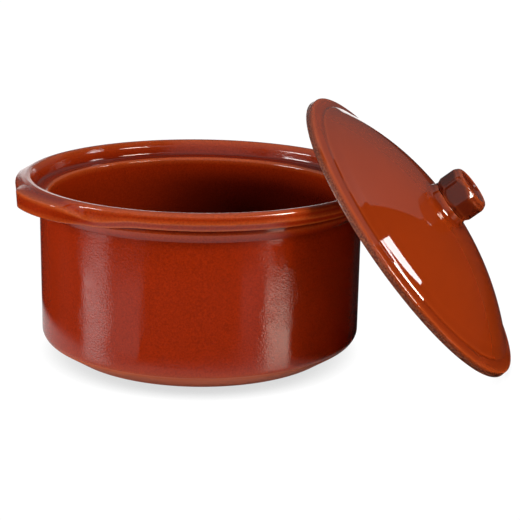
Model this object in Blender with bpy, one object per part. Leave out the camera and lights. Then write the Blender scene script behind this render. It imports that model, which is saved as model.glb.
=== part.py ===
"""Glazed terracotta cocotte: a thrown pot with two lug handles, and its lid with a faceted knob.

Units are metres and +Z is up. The origin is the centre of the pot's flat base. The lid is off the pot:
it stands on its edge on the surface at +X and leans towards the pot, so that the pot's rim reaches
a little way into the lid's hollow.
"""
import math

import bmesh
import bpy
from mathutils import Vector

# Pot body
POT_HEIGHT = 0.1205
WALL_RADIUS = 0.1095
WALL_THICKNESS = 0.0070
FLOOR_THICKNESS = 0.0085
FLOOR_CORNER = 0.0140
HEEL_WIDTH = 0.0164
HEEL_HEIGHT = 0.0108
HEEL_ROUND = 0.0060
BASE_ROUND = 0.0010

# Rim, the gallery inside it that carries the lid, and the collar and cove under it
SEAT_WIDTH = 0.0101
SEAT_ROUND = 0.0020
GALLERY_DEPTH = 0.0112
GALLERY_ROUND = 0.0030
RIM_THICKNESS = 0.0084
RIM_HEIGHT = 0.0115
RIM_ROUND = 0.0034
RIM_BEVEL_WIDTH = 0.0032
RIM_BEVEL_HEIGHT = 0.0050
RIM_BEVEL_ROUND = 0.0010
LIP_SLOPE = 0.0028
LIP_FALL = 0.0010
LIP_INNER_FALL = 0.0003
LIP_INNER_ROUND = 0.0012
CREST_ROUND = 0.0030
COLLAR_WIDTH = 0.0037
COLLAR_HEIGHT = 0.0037
COLLAR_ROUND = 0.0006
COVE_HEIGHT = 0.0055

# Lug handles, luted along the outside of the rim: a deep lobe, a step and a shallow lobe
LUG_REACH = 0.0085
LUG_SHALLOW_REACH = 0.0045
LUG_HALF_ANGLE = math.radians(38.0)
LUG_END_ANGLE = math.radians(44.0)
LUG_STEP_ANGLE = math.radians(3.5)
LUG_FULL_SHARE = 0.62
LUG_TAPER_SHARE = 0.33
LUG_END_THICKNESS = 0.0012
LUG_FALL = 0.0025
LUG_SHOULDER_FALL = 0.0007
LUG_SAG = 0.0032
LUG_UNDERCUT = 0.0006
LUG_EDGE_ROUND = 0.0012
LUG_SHALLOW_ROUND = 0.0040
LUG_UNDER_ROUND = 0.0014
LUG_LAP = 0.0008
LEFT_LUG_AZIMUTH = math.radians(200.0)
RIGHT_LUG_AZIMUTH = math.radians(20.0)

# Lid: a domed shell of even wall on a flat flange, with a shallow band round the dome's foot
LID_CLEARANCE = 0.0024
FLANGE_WIDTH = 0.0100
FLANGE_THICKNESS = 0.0053
FLANGE_TAPER = 0.0006
FLANGE_ROUND = 0.0012
FLANGE_RISE = 0.0014
FLANGE_STEP = 0.0024
STEP_WIDTH = 0.0009
STEP_ROUND = 0.0006
BAND_WIDTH = 0.0080
BAND_HOLLOW = 0.00012
DOME_HEIGHT = 0.0326
LID_THICKNESS = 0.0083

# Boss near the lid's middle, and the turned knob with hand-cut flats that is luted onto it
BOSS_RADIUS = 0.0153
BOSS_HEIGHT = 0.0049
BOSS_FLARE = 0.0125
NECK_SLOPE = 0.0014
NECK_SINK = 0.0006
NECK_ROUND = 0.0065
KNOB_OFFSET = 0.0030
KNOB_RADIUS = 0.0169
KNOB_HEIGHT = 0.0172
KNOB_UNDER = 0.0030
KNOB_UNDER_ROUND = 0.0016
KNOB_SHOULDER = 0.0040
KNOB_CROWN_RADIUS = 0.0145
KNOB_CROWN_FALL = 0.0006
KNOB_ROUND = 0.0030
KNOB_DISH_RADIUS = 0.0124
KNOB_DISH_DEPTH = 0.0020
KNOB_DISH_SLOPE = 0.0035
KNOB_DISH_ROUND = 0.0030
KNOB_DISH_EDGE = 0.0010
KNOB_CORNER_RADIUS = 0.0172
KNOB_CORNERS = [math.radians(turn) for turn in (-177, -138, -81, -50, -19, 31, 82, 132)]

# Where the lid leans
LEAN_ANGLE = math.radians(50.9)
LEAN_AZIMUTH = math.radians(-13.8)
LID_AZIMUTH = math.radians(-14.5)
RIM_INSIDE_LID = 0.0044

# Gap between pieces that are luted together, and how finely curves are cut
SEAM_GAP = 0.0003
POT_SEGMENTS = 80
LID_SEGMENTS = 72
KNOB_SEGMENTS = 40
LUG_STEPS = 24
SHARP_ANGLE = math.radians(35.0)

# Sizes worked out from those above
BASE_RADIUS = WALL_RADIUS - HEEL_WIDTH
INNER_RADIUS = WALL_RADIUS - WALL_THICKNESS
GALLERY_RADIUS = INNER_RADIUS + SEAT_WIDTH
GALLERY_HEIGHT = POT_HEIGHT - GALLERY_DEPTH
RIM_RADIUS = GALLERY_RADIUS + RIM_THICKNESS
RIM_BOTTOM = POT_HEIGHT - RIM_HEIGHT
BEVEL_FOOT_RADIUS = RIM_RADIUS - RIM_BEVEL_WIDTH
COLLAR_RADIUS = WALL_RADIUS + COLLAR_WIDTH
COLLAR_BOTTOM = RIM_BOTTOM - COLLAR_HEIGHT
LID_RADIUS = GALLERY_RADIUS - LID_CLEARANCE
FOOT_RADIUS = LID_RADIUS - FLANGE_WIDTH
FOOT_HEIGHT = FLANGE_THICKNESS + FLANGE_STEP
BAND_RADIUS = FOOT_RADIUS - BAND_WIDTH
FLARE_RADIUS = BOSS_RADIUS + BOSS_FLARE
BOSS_TOP = DOME_HEIGHT + BOSS_HEIGHT
KNOB_BOTTOM = BOSS_TOP + SEAM_GAP
KNOB_TOP = KNOB_BOTTOM + KNOB_HEIGHT


def clear_scene():
    """Remove every object, mesh and material that the file already holds."""
    for item in list(bpy.data.objects):
        bpy.data.objects.remove(item, do_unlink=True)
    for mesh in list(bpy.data.meshes):
        bpy.data.meshes.remove(mesh)
    for material in list(bpy.data.materials):
        bpy.data.materials.remove(material)


def material(name, colour, roughness):
    """A Principled material of one colour, for unmetallic fired clay and glaze."""
    made = bpy.data.materials.new(name)
    made.use_nodes = True
    shader = made.node_tree.nodes["Principled BSDF"]
    shader.inputs["Base Color"].default_value = (*colour, 1.0)
    shader.inputs["Roughness"].default_value = roughness
    shader.inputs["Metallic"].default_value = 0.0
    made.diffuse_color = (*colour, 1.0)
    return made


def rounded(corners):
    """A profile through corners of (radius, height, round, steps), each corner turned into an arc.

    The arc touches both sides of its corner. Its round is limited by the shorter side.
    """
    points = []
    last = len(corners) - 1
    for index, (x, z, radius, steps) in enumerate(corners):
        here = Vector((x, z))
        if radius == 0.0 or index in (0, last):
            points.append(here)
            continue
        before = Vector(corners[index - 1][:2]) - here
        after = Vector(corners[index + 1][:2]) - here
        half = before.angle(after) / 2
        reach = min(radius / math.tan(half), 0.48 * before.length, 0.48 * after.length)
        radius = reach * math.tan(half)
        start = here + before.normalized() * reach
        end = here + after.normalized() * reach
        middle = here + (before.normalized() + after.normalized()).normalized() * radius / math.sin(half)
        sweep = (start - middle).angle_signed(end - middle)
        for step in range(steps + 1):
            turn = -sweep * step / steps
            arm = start - middle
            turned = Vector((arm.x * math.cos(turn) - arm.y * math.sin(turn),
                             arm.x * math.sin(turn) + arm.y * math.cos(turn)))
            points.append(middle + turned)
    return points


def pot_profile():
    """Half section of the pot, from the middle of its base round the rim to the middle of its floor."""
    return rounded([
        (0.0, 0.0, 0.0, 0),
        (BASE_RADIUS, 0.0, BASE_ROUND, 1),
        (WALL_RADIUS, HEEL_HEIGHT, HEEL_ROUND, 3),
        (WALL_RADIUS, COLLAR_BOTTOM - COVE_HEIGHT, COLLAR_ROUND, 1),
        (COLLAR_RADIUS, COLLAR_BOTTOM, COLLAR_ROUND, 1),
        (COLLAR_RADIUS, RIM_BOTTOM, COLLAR_ROUND, 1),
        (BEVEL_FOOT_RADIUS, RIM_BOTTOM, RIM_BEVEL_ROUND, 2),
        (RIM_RADIUS, RIM_BOTTOM + RIM_BEVEL_HEIGHT, RIM_BEVEL_ROUND, 1),
        (RIM_RADIUS, POT_HEIGHT - LIP_FALL, RIM_ROUND, 4),
        (RIM_RADIUS - LIP_SLOPE, POT_HEIGHT, CREST_ROUND, 1),
        (GALLERY_RADIUS + LIP_SLOPE, POT_HEIGHT - LIP_INNER_FALL, LIP_INNER_ROUND, 2),
        (GALLERY_RADIUS, GALLERY_HEIGHT, GALLERY_ROUND, 3),
        (INNER_RADIUS, GALLERY_HEIGHT, SEAT_ROUND, 3),
        (INNER_RADIUS, FLOOR_THICKNESS, FLOOR_CORNER, 5),
        (0.0, FLOOR_THICKNESS, 0.0, 0),
    ])


def dome_height(radius, wall):
    """Height of the dome's arc at a radius, or of the arc a wall's thickness inside it.

    The outer arc passes through the dome's top and its foot. The inner one has the same centre.
    """
    rise = DOME_HEIGHT - FOOT_HEIGHT
    outer = (FOOT_RADIUS ** 2 + rise ** 2) / (2 * rise)
    return DOME_HEIGHT - outer + math.sqrt((outer - wall) ** 2 - radius ** 2)


def dome_arc(wall, from_radius, to_radius, steps):
    """Points on the dome's arc, or on the arc a wall's thickness inside it, at even steps of radius."""
    points = []
    for step in range(steps + 1):
        radius = from_radius + (to_radius - from_radius) * step / steps
        points.append(Vector((radius, dome_height(radius, wall))))
    return points


def hollow_radius():
    """Radius at which the lid's hollow meets the flat underside of its flange."""
    rise = DOME_HEIGHT - FOOT_HEIGHT
    outer = (FOOT_RADIUS ** 2 + rise ** 2) / (2 * rise)
    return math.sqrt((outer - LID_THICKNESS) ** 2 - (outer - DOME_HEIGHT) ** 2)


def lid_profile():
    """Half section of the lid, from its hollow's middle round the flange to the top of its boss."""
    hollow = dome_arc(LID_THICKNESS, 0.0, hollow_radius(), 9)
    ridge = Vector((BAND_RADIUS, dome_height(BAND_RADIUS, 0.0)))
    foot = Vector((FOOT_RADIUS, FOOT_HEIGHT))
    flange = rounded([
        (hollow_radius(), 0.0, 0.0, 0),
        (LID_RADIUS, 0.0, FLANGE_ROUND, 2),
        (LID_RADIUS - FLANGE_TAPER, FLANGE_THICKNESS, FLANGE_ROUND, 3),
        (FOOT_RADIUS + STEP_WIDTH, FLANGE_THICKNESS + FLANGE_RISE, STEP_ROUND, 1),
        (foot.x, foot.y, STEP_ROUND, 1),
        (ridge.x, ridge.y, 0.0, 0),
    ])
    band = (ridge + foot) / 2 - Vector((0.0, BAND_HOLLOW))
    dome = dome_arc(0.0, BAND_RADIUS, FLARE_RADIUS, 9)
    boss = rounded([
        (FLARE_RADIUS, dome_height(FLARE_RADIUS, 0.0), 0.0, 0),
        (BOSS_RADIUS + NECK_SLOPE, DOME_HEIGHT - NECK_SINK, NECK_ROUND, 4),
        (BOSS_RADIUS, BOSS_TOP, 0.0, 0),
        (0.0, BOSS_TOP, 0.0, 0),
    ])
    return hollow + flange[1:-1] + [band] + dome + boss[1:]


def shift_boss(lid):
    """Move the boss off the lid's middle, with the dome's skin drawn after it and kept on its arc.

    The pull is whole on the boss and its flare, and dies out over the same width again.
    """
    for vert in lid.data.vertices:
        radius = math.hypot(vert.co.x, vert.co.y)
        pull = smooth((FLARE_RADIUS + BOSS_FLARE - radius) / BOSS_FLARE)
        if pull > 0.0 and vert.co.z > DOME_HEIGHT - LID_THICKNESS / 2:
            vert.co.x -= KNOB_OFFSET * pull
            moved = math.hypot(vert.co.x, vert.co.y)
            slide = smooth((radius - BOSS_RADIUS) / BOSS_FLARE)
            vert.co.z += slide * (dome_height(moved, 0.0) - dome_height(radius, 0.0))


def knob_profile():
    """Half section of the knob as turned, before its flats are cut, from the seam up to the dish."""
    return rounded([
        (0.0, KNOB_BOTTOM, 0.0, 0),
        (BOSS_RADIUS, KNOB_BOTTOM, 0.0, 0),
        (KNOB_RADIUS, KNOB_BOTTOM + KNOB_UNDER, KNOB_UNDER_ROUND, 3),
        (KNOB_RADIUS, KNOB_TOP - KNOB_SHOULDER, KNOB_ROUND, 3),
        (KNOB_CROWN_RADIUS, KNOB_TOP - KNOB_CROWN_FALL, KNOB_ROUND, 3),
        (KNOB_DISH_RADIUS, KNOB_TOP, KNOB_DISH_EDGE, 2),
        (KNOB_DISH_RADIUS - KNOB_DISH_SLOPE, KNOB_TOP - KNOB_DISH_DEPTH, KNOB_DISH_ROUND, 2),
        (0.0, KNOB_TOP - KNOB_DISH_DEPTH, 0.0, 0),
    ])


def revolve(name, profile, segments, finish):
    """A closed solid turned from a half section that starts and ends on the axis."""
    mesh = bpy.data.meshes.new(name)
    form = bmesh.new()
    verts = [form.verts.new((point.x, 0.0, point.y)) for point in profile]
    edges = [form.edges.new(pair) for pair in zip(verts, verts[1:])]
    bmesh.ops.spin(form, geom=verts + edges, cent=(0, 0, 0), axis=(0, 0, 1), angle=math.tau,
                   steps=segments, use_duplicate=False)
    bmesh.ops.remove_doubles(form, verts=form.verts, dist=0.00002)
    bmesh.ops.recalc_face_normals(form, faces=form.faces)
    form.to_mesh(mesh)
    form.free()
    return place(name, mesh, finish)


def place(name, mesh, finish):
    """Put a mesh into the scene as a smooth-shaded object of one material."""
    mesh.materials.append(finish)
    mesh.shade_smooth()
    mesh.set_sharp_from_angle(angle=SHARP_ANGLE)
    made = bpy.data.objects.new(name, mesh)
    bpy.context.scene.collection.objects.link(made)
    return made


def rim_face():
    """What a lug is pressed against: the rim's bevel, its outer face and its edge, a seam's gap away."""
    profile = pot_profile()
    face = []
    for before, here, after in zip(profile, profile[1:], profile[2:]):
        if here.x > BEVEL_FOOT_RADIUS and RIM_BOTTOM < here.y < POT_HEIGHT - LUG_LAP:
            along = (after - before).normalized()
            face.append(here + SEAM_GAP * Vector((along.y, -along.x)))
    return face


def smooth(share):
    """Rises softly from 0 to 1 as share goes from 0 to 1, and stays level beyond."""
    share = min(max(share, 0.0), 1.0)
    return share * share * (3.0 - 2.0 * share)


def lug_section(turn):
    """Closed section of a lug at a turn from its middle: the rim's face inside, soft edges outside.

    The deep lobe has a flat top with a crisp edge, the shallow one a round shoulder. Towards both
    ends the upper edge drops to the rim's bevel and the lower one draws back under it.
    """
    along = abs(turn) / LUG_HALF_ANGLE
    share = smooth((LUG_FULL_SHARE + LUG_TAPER_SHARE - along) / LUG_TAPER_SHARE)
    deep = smooth(0.5 + turn / (2 * LUG_STEP_ANGLE))
    full = LUG_SHALLOW_REACH + deep * (LUG_REACH - LUG_SHALLOW_REACH)
    edge_round = LUG_SHALLOW_ROUND + deep * (LUG_EDGE_ROUND - LUG_SHALLOW_ROUND)
    face = rim_face()
    skin = RIM_RADIUS + SEAM_GAP + LUG_END_THICKNESS
    out = skin + share * (full - LUG_END_THICKNESS)
    low_edge = RIM_BOTTOM + RIM_BEVEL_HEIGHT - LUG_SAG
    high_edge = POT_HEIGHT - LUG_FALL
    under = BEVEL_FOOT_RADIUS + LUG_END_THICKNESS
    under += (out - LUG_UNDERCUT - under) * max(1.0 - along ** 2, 0.0)
    outside = rounded([
        (face[-1].x, face[-1].y, 0.0, 0),
        (skin, POT_HEIGHT - LUG_SHOULDER_FALL, LUG_EDGE_ROUND, 1),
        (out, low_edge + (high_edge - low_edge) * share, edge_round, 4),
        (under, RIM_BOTTOM - LUG_SAG, LUG_UNDER_ROUND, 2),
        (face[0].x, face[0].y, 0.0, 0),
    ])
    return face[1:-1] + outside


def lug_handle(name, azimuth, finish):
    """A lug lofted through its sections along the rim, with both thin ends closed."""
    mesh = bpy.data.meshes.new(name)
    form = bmesh.new()
    rings = []
    for step in range(LUG_STEPS + 1):
        turn = LUG_END_ANGLE * (2 * step / LUG_STEPS - 1)
        angle = azimuth + turn
        ring = [form.verts.new((point.x * math.cos(angle), point.x * math.sin(angle), point.y))
                for point in lug_section(turn)]
        rings.append(ring)
    for ring, following in zip(rings, rings[1:]):
        for index in range(len(ring)):
            after = (index + 1) % len(ring)
            form.faces.new((ring[index], following[index], following[after], ring[after]))
    form.faces.new(rings[0])
    form.faces.new(rings[-1])
    bmesh.ops.recalc_face_normals(form, faces=form.faces)
    form.to_mesh(mesh)
    form.free()
    return place(name, mesh, finish)


def cut_flats(knob):
    """Cut the knob's flats: keep what lies inside an upright prism with the flats' own corners."""
    mesh = bpy.data.meshes.new("knob_flats")
    form = bmesh.new()
    corners = [form.verts.new((KNOB_CORNER_RADIUS * math.cos(turn), KNOB_CORNER_RADIUS * math.sin(turn), 0.0))
               for turn in KNOB_CORNERS]
    base = form.faces.new(corners)
    raised = bmesh.ops.extrude_face_region(form, geom=[base])["geom"]
    lift = Vector((0.0, 0.0, 2 * KNOB_TOP))
    bmesh.ops.translate(form, verts=[item for item in raised if isinstance(item, bmesh.types.BMVert)], vec=lift)
    bmesh.ops.recalc_face_normals(form, faces=form.faces)
    form.to_mesh(mesh)
    form.free()
    cutter = bpy.data.objects.new("knob_flats", mesh)
    bpy.context.scene.collection.objects.link(cutter)
    cutter.parent = knob.parent
    cutter.location = knob.location
    cutter.display_type = "WIRE"
    cutter.hide_render = True
    cut = knob.modifiers.new("flats", "BOOLEAN")
    cut.operation = "INTERSECT"
    cut.solver = "EXACT"
    cut.object = cutter


def lid_place():
    """The middle of the lid's flat underside, when its edge is on the surface and it leans as set.

    The lid's lowest corner is at height zero. The pot's rim then reaches a set way past the plane
    of the flange, into the hollow, which gives the distance from the pot's axis.
    """
    height = LID_RADIUS * math.sin(LEAN_ANGLE)
    rim = max(point.x * math.sin(LEAN_ANGLE) + point.y * math.cos(LEAN_ANGLE) for point in pot_profile())
    distance = (rim - RIM_INSIDE_LID - height * math.cos(LEAN_ANGLE)) / math.sin(LEAN_ANGLE)
    return (distance * math.cos(LID_AZIMUTH), distance * math.sin(LID_AZIMUTH), height)


def main():
    clear_scene()
    glaze = material("honey_glaze_body", (0.262, 0.032, 0.008), 0.12)
    lug_glaze = material("honey_glaze_lugs", (0.270, 0.036, 0.010), 0.14)
    lid_glaze = material("honey_glaze_lid", (0.290, 0.045, 0.010), 0.10)
    knob_glaze = material("honey_glaze_knob", (0.150, 0.020, 0.007), 0.12)

    revolve("pot_body", pot_profile(), POT_SEGMENTS, glaze)
    lug_handle("left_lug_handle", LEFT_LUG_AZIMUTH, lug_glaze)
    lug_handle("right_lug_handle", RIGHT_LUG_AZIMUTH, lug_glaze)

    lean = bpy.data.objects.new("lid_lean", None)
    bpy.context.scene.collection.objects.link(lean)
    lean.rotation_euler = (0.0, LEAN_ANGLE, LEAN_AZIMUTH)
    lean.location = lid_place()
    lid = revolve("lid", lid_profile(), LID_SEGMENTS, lid_glaze)
    lid.parent = lean
    shift_boss(lid)
    knob = revolve("lid_knob", knob_profile(), KNOB_SEGMENTS, knob_glaze)
    knob.parent = lean
    knob.location = (-KNOB_OFFSET, 0.0, 0.0)
    cut_flats(knob)


main()
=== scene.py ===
"""Glazed terracotta cocotte with its lid leaning beside it: finished surfaces, stage, light and camera.

Units are metres and +Z is up. The origin is the middle of the pot's base.
"""
import math

import bpy
import numpy as np
from mathutils import Matrix, Quaternion, Vector


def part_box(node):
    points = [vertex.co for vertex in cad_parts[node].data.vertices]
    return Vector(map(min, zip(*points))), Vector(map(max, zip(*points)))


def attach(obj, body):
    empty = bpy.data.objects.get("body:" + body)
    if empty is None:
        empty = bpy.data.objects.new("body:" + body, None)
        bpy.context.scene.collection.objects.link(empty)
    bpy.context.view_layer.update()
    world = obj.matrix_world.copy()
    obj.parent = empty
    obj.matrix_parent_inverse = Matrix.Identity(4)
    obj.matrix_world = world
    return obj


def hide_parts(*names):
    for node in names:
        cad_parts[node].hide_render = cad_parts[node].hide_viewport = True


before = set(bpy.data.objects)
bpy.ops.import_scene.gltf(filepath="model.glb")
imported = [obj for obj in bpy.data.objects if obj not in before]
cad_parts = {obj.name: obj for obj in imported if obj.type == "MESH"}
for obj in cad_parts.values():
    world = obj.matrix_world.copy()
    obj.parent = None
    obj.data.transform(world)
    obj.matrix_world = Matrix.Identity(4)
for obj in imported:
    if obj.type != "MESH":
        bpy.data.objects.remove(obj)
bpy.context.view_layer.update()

bl_info = {
    "name": "Glazed cocotte",
    "version": (1, 0, 0),
    "blender": (4, 5, 0),
    "location": "View3D > Sidebar > Cocotte",
    "description": "Builds the glazed skins of a terracotta cocotte and its lid round their solids",
    "category": "Object",
}

MM = 0.001

# How finely each skin is divided: columns round its axis, and the longest step along its section
POT_COLUMNS, POT_STEP = 420, 4.0 * MM
LID_COLUMNS, LID_STEP = 480, 2.0 * MM
KNOB_COLUMNS, KNOB_STEP = 256, 0.6 * MM

# Corners of the lid's solid this near to its lowest plane belong to the rings of its flange
LID_RING = 2.5 * MM
# The seam between two luted pieces, as in the solids
SEAM = 0.3 * MM

# Small rounds of the pot's section, from its foot up round the rim and down into the gallery
FOOT_ROUND = 1.0 * MM
COVE_ROUND = 1.0 * MM
COLLAR_ROUND = 0.6 * MM
LIP_ROUND = 3.0 * MM
LIP_INNER_ROUND = 1.2 * MM
LIP_FOOT_ROUND = 3.0 * MM
GALLERY_CORNER_ROUND = 3.0 * MM
GALLERY_EDGE_ROUND = 2.0 * MM
# How far the lip's inner edge lies below its crown, and its outer edge is raised at a lug
LIP_CROWN = 0.3 * MM
# The share of the lip's inner slope that is left at its foot
LIP_FOOT_SHARE = 0.3

# Shares of a lug's half angle at which its reach starts to fall and is gone, the same for its sag,
# and the one past which its lobes don't count
LUG_REACH_WHOLE, LUG_REACH_GONE = 0.62, 0.95
LUG_SAG_WHOLE, LUG_SAG_GONE = 0.95, 1.35
LUG_PAST = 1.5

# Small runs and rounds of the lid's section: the flange's draft, the step up from it to the dome,
# the band round the dome's foot, and the neck
FLANGE_DRAFT = 0.6 * MM
STEP_RUN, STEP_RISE = 0.9 * MM, 1.4 * MM
STEP_FOOT_ROUND, STEP_EDGE_ROUND = 0.8 * MM, 0.9 * MM
BAND_ROUND = 60.0 * MM
RIDGE_RUN, RIDGE_ROUND = 4.0 * MM, 12.0 * MM
NECK_RUN, NECK_SINK, NECK_ROUND = 1.4 * MM, 0.6 * MM, 6.5 * MM
NECK_EDGE_ROUND = 0.4 * MM

# Small runs and rounds of the knob's section, and how soft the arris between two flats is
KNOB_FOOT_ROUND = 0.4 * MM
KNOB_UNDER_ROUND = 1.6 * MM
KNOB_SHOULDER_ROUND = 3.0 * MM
KNOB_CROWN_FALL, KNOB_CROWN_ROUND = 0.6 * MM, 3.0 * MM
DISH_EDGE_ROUND, DISH_RUN, DISH_ROUND = 1.0 * MM, 3.5 * MM, 3.0 * MM
FLAT_ARRIS = 0.3 * MM
# Inside this share of the knob's radius, the section is as turned
KNOB_CORE_SHARE = 0.6

# The glaze stops over this much height, and inside the pot painted shade darkens it between these depths
GLAZE_LINE_BLUR = 0.6 * MM
INSIDE_SHADE_FROM, INSIDE_SHADE_DOWN_TO = 9 * MM, 34 * MM

# Stage sheets by their corners, in metres. The ground is only seen in reflections.
MIRROR_GROUND = [(-0.42, -0.38, -0.002), (0.6, -0.38, -0.002), (0.6, 0.5, -0.002), (-0.42, 0.5, -0.002)]
PALE_PATCH = [(-0.085, -0.148, -0.001), (-0.218, -0.317, -0.001), (-0.304, -0.225, -0.001),
              (-0.130, -0.110, -0.001)]
REAR_WALL = [(-2.62, 1.2, 0.14), (0.82, 1.2, 0.14), (1.76, 1.2, 0.90), (3.03, 1.2, 3.15),
             (3.2, 1.2, 4.2), (-2.62, 1.2, 4.2)]
BACK_STRIP = [(-0.42, 1.1, -0.12), (0.33, 1.1, -0.12), (0.33, 1.1, 0.20), (-0.05, 1.1, 0.21),
              (-0.15, 1.1, 0.38), (-0.42, 1.1, 0.40)]

# What the soft boxes are aimed at
POT_FOOT = (0.0, 0.0, 0.0)
LID_SIDE = (0.165, -0.11, 0.10)

# The camera's place, the way it looks, the way up in its picture, and its lens in millimetres
CAMERA_PLACE = (0.0, -0.93391, 0.32119)
CAMERA_FORWARD = (0.04208, 0.96180, -0.27051)
CAMERA_UP = (-0.0086, 0.27109, 0.96252)
CAMERA_SENSOR, CAMERA_LENS = 36.0, 96.94


def linear(code):
    """An sRGB hex colour as linear red, green and blue."""
    srgb = np.array([int(code[i:i + 2], 16) for i in (1, 3, 5)]) / 255
    return tuple(np.where(srgb <= 0.04045, srgb / 12.92, ((srgb + 0.055) / 1.055) ** 2.4).tolist())


def node_points(name):
    """Every corner of a CAD node, one row each."""
    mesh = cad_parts[name].data
    points = np.empty(3 * len(mesh.vertices), np.float32)
    mesh.vertices.foreach_get("co", points)
    return points.reshape(-1, 3).astype(float)


def flat_axis(points):
    """The middle of a flat cloud of points and the direction across it, upwards.

    The cloud spreads least along its axis, which is the last singular vector of the points.
    """
    middle = points.mean(axis=0)
    axis = np.linalg.svd(points - middle, full_matrices=False)[2][-1]
    return middle, axis * np.sign(axis[2])


def leaning_frame(name, rim):
    """The place of a turned CAD node: columns are downhill, level and axis directions, then its foot.

    The corners within a rim's height of the lowest plane are whole rings, so their axis and their
    middle give the place truly, also where something off centre stands on the shape.
    """
    points = node_points(name)
    for _ in range(2):
        middle, axis = flat_axis(points)
        height = (points - middle) @ axis
        points = points[height < height.min() + rim]
    middle, axis = flat_axis(points)
    level = np.cross((0.0, 0.0, 1.0), axis)
    level /= np.linalg.norm(level)
    downhill = np.cross(level, axis)
    foot = middle + axis * ((points - middle) @ axis).min()
    return np.column_stack((downhill, level, axis, foot))


POT_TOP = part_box("pot_body")[1]
LID_PLACE = leaning_frame("lid", LID_RING)
LID_SPREAD = (node_points("lid") - LID_PLACE[:, 3]) @ LID_PLACE[:, :3]
LID_RADIUS = float(np.hypot(LID_SPREAD[:, 0], LID_SPREAD[:, 1]).max())


def length(name, description, default):
    """A length of the object, in metres."""
    return bpy.props.FloatProperty(name=name, description=description, default=default, min=0.0,
                                   precision=4, unit="LENGTH", subtype="DISTANCE")


def angle(name, description, degrees):
    """An angle of the object, given in degrees and kept in radians."""
    return bpy.props.FloatProperty(name=name, description=description, default=math.radians(degrees),
                                   unit="ROTATION", subtype="ANGLE")


def colour(name, description, code):
    """A colour of the object, given as an sRGB hex value and kept as linear values."""
    return bpy.props.FloatVectorProperty(name=name, description=description, default=linear(code),
                                         size=3, min=0.0, max=1.0, subtype="COLOR")


def amount(name, description, default):
    """A plain number without a unit."""
    return bpy.props.FloatProperty(name=name, description=description, default=default, precision=3)


class PotSizes(bpy.types.PropertyGroup):
    """Sizes of the thrown pot with its rim and its two lug handles."""

    height: length("Height", "Base to lip", POT_TOP.z)
    rim_radius: length("Rim radius", "Axis to the outside of the rim", POT_TOP.x)
    wall_radius: length("Wall radius", "Axis to the outside of the wall", 109.5 * MM)
    wall: length("Wall", "Thickness of the wall", 7.0 * MM)
    floor: length("Floor", "Thickness of the floor", 8.5 * MM)
    floor_corner: length("Floor corner", "Round between floor and wall, inside", 14.0 * MM)
    heel_width: length("Heel width", "How far the heel is drawn in at the base", 16.4 * MM)
    heel_height: length("Heel height", "Height of the bevelled heel", 10.8 * MM)
    heel_round: length("Heel round", "Round between the heel and the wall", 6.0 * MM)
    rim_thickness: length("Rim thickness", "Rim, from the gallery's wall to the outside", 8.4 * MM)
    rim_height: length("Rim height", "Rim, from its underside to the lip", 11.5 * MM)
    rim_round: length("Rim round", "Round of the rim's outer edge", 3.4 * MM)
    bevel_width: length("Bevel width", "How far the rim's bevel draws in", 3.2 * MM)
    bevel_height: length("Bevel height", "Height of the rim's bevel", 5.0 * MM)
    bevel_round: length("Bevel round", "Round of the bevel's two arrises", 1.0 * MM)
    lip_slope: length("Lip slope", "Width of the soft edges on both sides of the lip", 2.8 * MM)
    lip_depth: length("Lip depth", "How deep the lip's inner edge reaches into the gallery", 4.0 * MM)
    lip_fall: length("Lip fall", "How far the lip falls to its outer edge", 1.0 * MM)
    collar_width: length("Collar width", "How far the collar under the rim stands out", 3.7 * MM)
    collar_height: length("Collar height", "Height of the collar under the rim", 3.7 * MM)
    cove: length("Cove", "Height of the slope under the collar", 5.5 * MM)
    gallery_depth: length("Gallery depth", "From the lip down to the ledge that carries the lid", 11.2 * MM)
    lug_reach: length("Lug reach", "How far a lug's deep lobe stands out from the rim", 8.5 * MM)
    lug_shallow: length("Shallow reach", "How far a lug's shallow lobe stands out", 4.5 * MM)
    lug_half_angle: angle("Lug half angle", "Half of the arc that a lug covers", 38.0)
    lug_step_angle: angle("Lug step angle", "Half width of the step between a lug's lobes", 3.5)
    lug_fall: length("Lug fall", "How far a lug's top falls from the lip to its edge", 2.5 * MM)
    lug_sag: length("Lug sag", "How far a lug hangs below the rim", 3.2 * MM)
    lug_undercut: length("Lug undercut", "How far a lug's lower edge is drawn in", 0.6 * MM)
    lug_edge: length("Lug edge", "Round of the deep lobe's upper edge", 1.2 * MM)
    lug_shoulder: length("Lug shoulder", "Round of the shallow lobe's upper edge", 4.0 * MM)
    lug_under: length("Lug under round", "Round of a lug's lower edge", 1.4 * MM)
    left_lug: angle("Left lug", "Turn of the left lug round the pot", 200.0)
    right_lug: angle("Right lug", "Turn of the right lug round the pot", 20.0)
    glaze_line: length("Glaze line", "Height at which the glaze stops above the bare heel", 11.6 * MM)


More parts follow.
